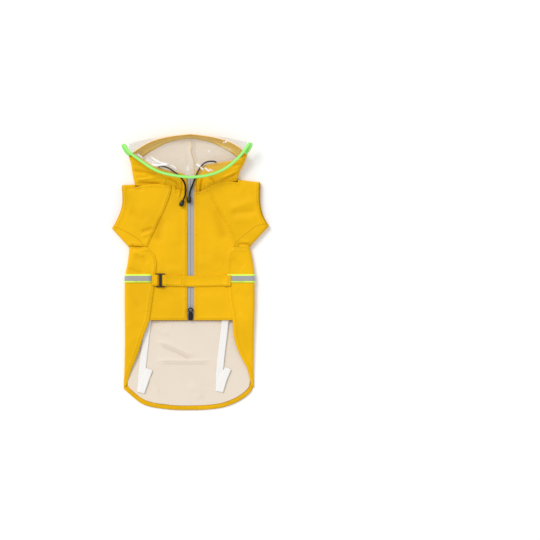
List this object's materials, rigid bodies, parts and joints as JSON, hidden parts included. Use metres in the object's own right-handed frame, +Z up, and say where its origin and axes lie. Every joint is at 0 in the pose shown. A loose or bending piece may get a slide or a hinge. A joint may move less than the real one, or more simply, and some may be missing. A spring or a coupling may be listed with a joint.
{
  "type": "dog raincoat",
  "caption": "Hooded dog raincoat laid flat on its back, with front zip, belt, clear visor, drawcords, sleeves, leg straps and back pocket.",
  "frame": {"origin": "middle of the coat's box, on the surface that it lies on", "axes": "+Y from the tail hem to the hood's brim, +X to the right as it lies with its belly side up, +Z up"},
  "size_m": [0.3148, 0.5513, 0.042],
  "materials": {
    "yellow_cloth": "coated, satin",
    "beige_mesh": "matte knitted mesh",
    "clear_sheet": "clear and glossy",
    "lime_edging": "woven, matte",
    "reflective_tape": "grey reflective stripe between lime edges",
    "zip_tape": "woven, matte",
    "white_elastic": "ribbed, matte",
    "black_cord": "braided, matte",
    "black_plastic": "satin",
    "dark_metal": "dark, satin"
  },
  "bodies": {
    "coat": {"back_upper": "yellow_cloth", "side_panel_left": "yellow_cloth", "side_panel_right": "yellow_cloth", "back_skirt": "yellow_cloth", "front_left": "yellow_cloth", "front_right": "yellow_cloth", "sleeve_left": "yellow_cloth", "sleeve_right": "yellow_cloth", "hood_left": "yellow_cloth", "hood_right": "yellow_cloth", "hood_facing": "yellow_cloth", "tail_hem": "yellow_cloth", "pocket": "yellow_cloth", "pocket_flap": "yellow_cloth", "belt_strap": "yellow_cloth", "belt_tab": "yellow_cloth", "body_lining": "beige_mesh", "hood_lining": "beige_mesh", "visor": "clear_sheet", "visor_binding": "lime_edging", "waist_band": "reflective_tape", "shoulder_band_left": "reflective_tape", "shoulder_band_right": "reflective_tape", "zip_tape_left": "zip_tape", "zip_tape_right": "zip_tape", "leg_strap_left": "white_elastic", "leg_strap_right": "white_elastic", "drawcord_left": "black_cord", "drawcord_right": "black_cord", "belt_buckle": "black_plastic", "cord_end_left": "black_plastic", "cord_end_right": "black_plastic", "zip_slider": "dark_metal"},
    "pull": {"zip_pull": "dark_metal"}
  },
  "joints": [
    {"name": "pull_hinge", "type": "hinge", "parent": "coat", "child": "pull", "pos_m": [0.0007, -0.086, 0.01285], "axis": [1, 0, 0], "range_deg": [0, 170]}
  ]
}
